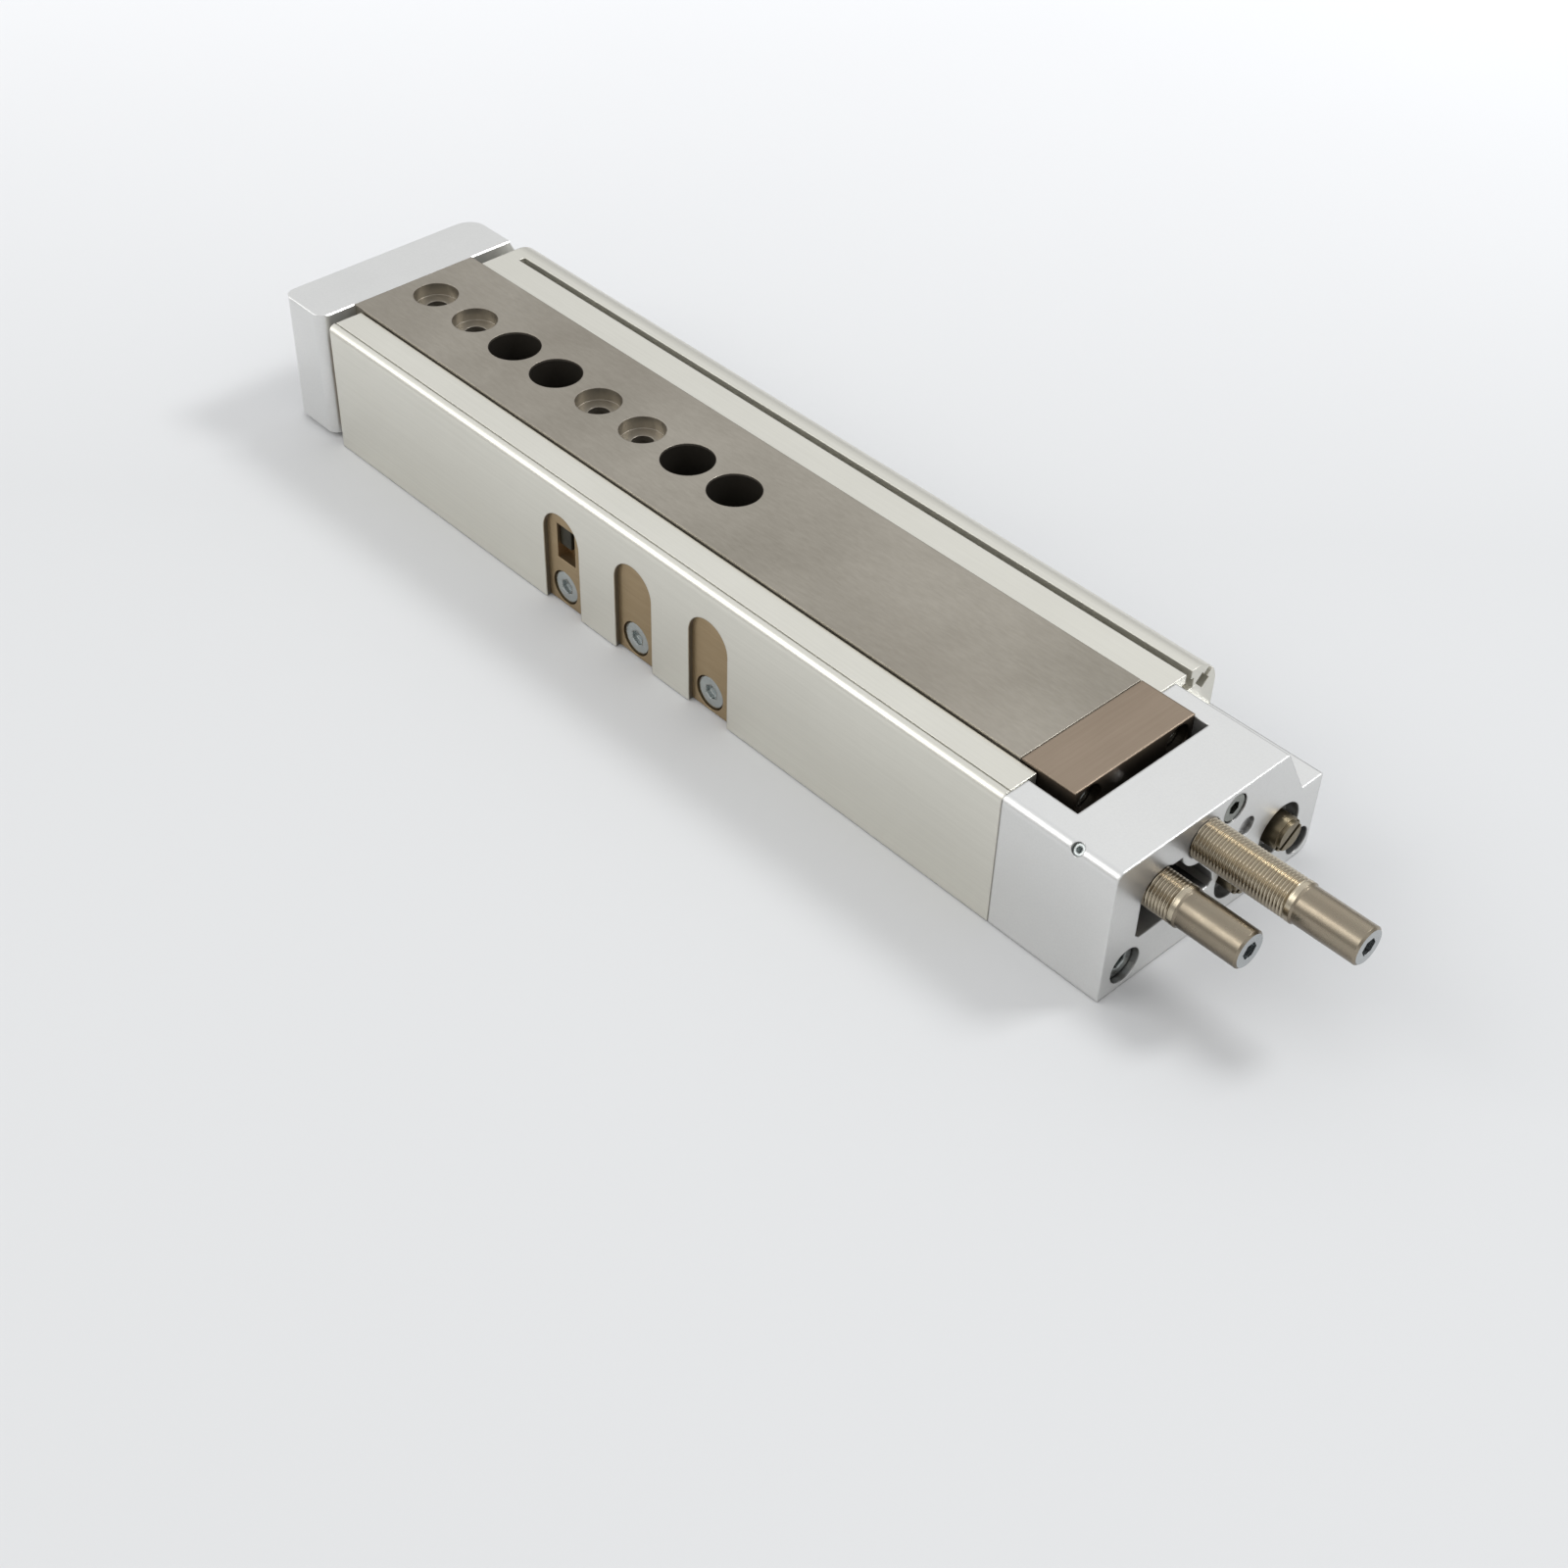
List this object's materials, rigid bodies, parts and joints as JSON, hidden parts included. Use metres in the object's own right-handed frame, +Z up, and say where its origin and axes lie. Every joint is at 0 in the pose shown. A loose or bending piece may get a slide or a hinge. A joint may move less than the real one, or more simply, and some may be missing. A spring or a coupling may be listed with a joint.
{
  "type": "pneumatic slide table",
  "caption": "Pneumatic slide table: a steel table on ball rails beside its cylinder, with an aluminium yoke and end cap and shock absorbers for both ends of the travel.",
  "frame": {"origin": "on the base face, under the table's first locating hole", "axes": "+X along the travel from the yoke to the end cap, +Y towards the cylinder and sensor slots, +Z up through the table"},
  "size_m": [0.1969, 0.0415, 0.022],
  "materials": {
    "anodised_aluminium": "satin, clear anodised",
    "table_steel": "ground and heat treated, grey-brown",
    "rail_steel": "ground and heat treated, brown",
    "zinc_steel": "zinc plated",
    "nickel_plate": "nickel plated, bright",
    "bright_steel": "hard chrome, polished",
    "ball_steel": "polished",
    "cage_brass": "drawn strip",
    "black_rubber": "moulded nitrile",
    "piston_aluminium": "turned",
    "magnet_grey": "bonded magnet",
    "bronze": "turned",
    "black_steel": "black oxide",
    "brass_plug": "turned brass, dull"
  },
  "bodies": {
    "housing": {"housing": "anodised_aluminium", "end_cap": "anodised_aluminium", "end_cap_screws": "zinc_steel", "guide_rail_near": "rail_steel", "guide_rail_far": "rail_steel", "near_rail_screws": "zinc_steel", "far_rail_screws": "zinc_steel", "fixed_stop": "rail_steel", "rod_bearing": "bronze", "rod_seal": "black_rubber", "bearing_ring": "black_steel", "cap_seal": "black_rubber", "retract_absorber": "nickel_plate", "absorber_screw": "zinc_steel", "rear_port_plug": "brass_plug", "front_port_plug": "brass_plug", "lock_screw": "black_steel"},
    "table": {"slide_table": "table_steel", "stop_plate": "rail_steel", "stop_plate_screws": "zinc_steel", "yoke_plate": "anodised_aluminium", "yoke_screws": "zinc_steel", "piston_rod": "bright_steel", "rod_screw": "zinc_steel", "piston": "piston_aluminium", "piston_seals": "black_rubber", "piston_magnet": "magnet_grey", "piston_bumper": "black_rubber", "extend_absorber": "nickel_plate"},
    "near_cage": {"ball_cage_near": "cage_brass", "balls_near": "ball_steel"},
    "far_cage": {"ball_cage_far": "cage_brass", "balls_far": "ball_steel"},
    "retract_plunger": {"retract_plunger": "bright_steel"},
    "extend_plunger": {"extend_plunger": "bright_steel"}
  },
  "joints": [
    {"name": "table_slide", "type": "slide", "parent": "housing", "child": "table", "axis": [-1, 0, 0], "range_m": [0, 0.08]},
    {"name": "near_cage_roll", "type": "slide", "parent": "housing", "child": "near_cage", "axis": [-1, 0, 0], "range_m": [0, 0.04]},
    {"name": "far_cage_roll", "type": "slide", "parent": "housing", "child": "far_cage", "axis": [-1, 0, 0], "range_m": [0, 0.04]},
    {"name": "retract_plunger_press", "type": "slide", "parent": "housing", "child": "retract_plunger", "axis": [1, 0, 0], "range_m": [0, 0.0024], "stiffness_N_per_m": 400, "springref_m": -0.004},
    {"name": "extend_plunger_press", "type": "slide", "parent": "table", "child": "extend_plunger", "axis": [1, 0, 0], "range_m": [0, 0.0024], "stiffness_N_per_m": 400, "springref_m": -0.004}
  ],
  "couplings": [
    {"joint": "near_cage_roll", "follows": "table_slide", "ratio": 0.5},
    {"joint": "far_cage_roll", "follows": "table_slide", "ratio": 0.5}
  ]
}
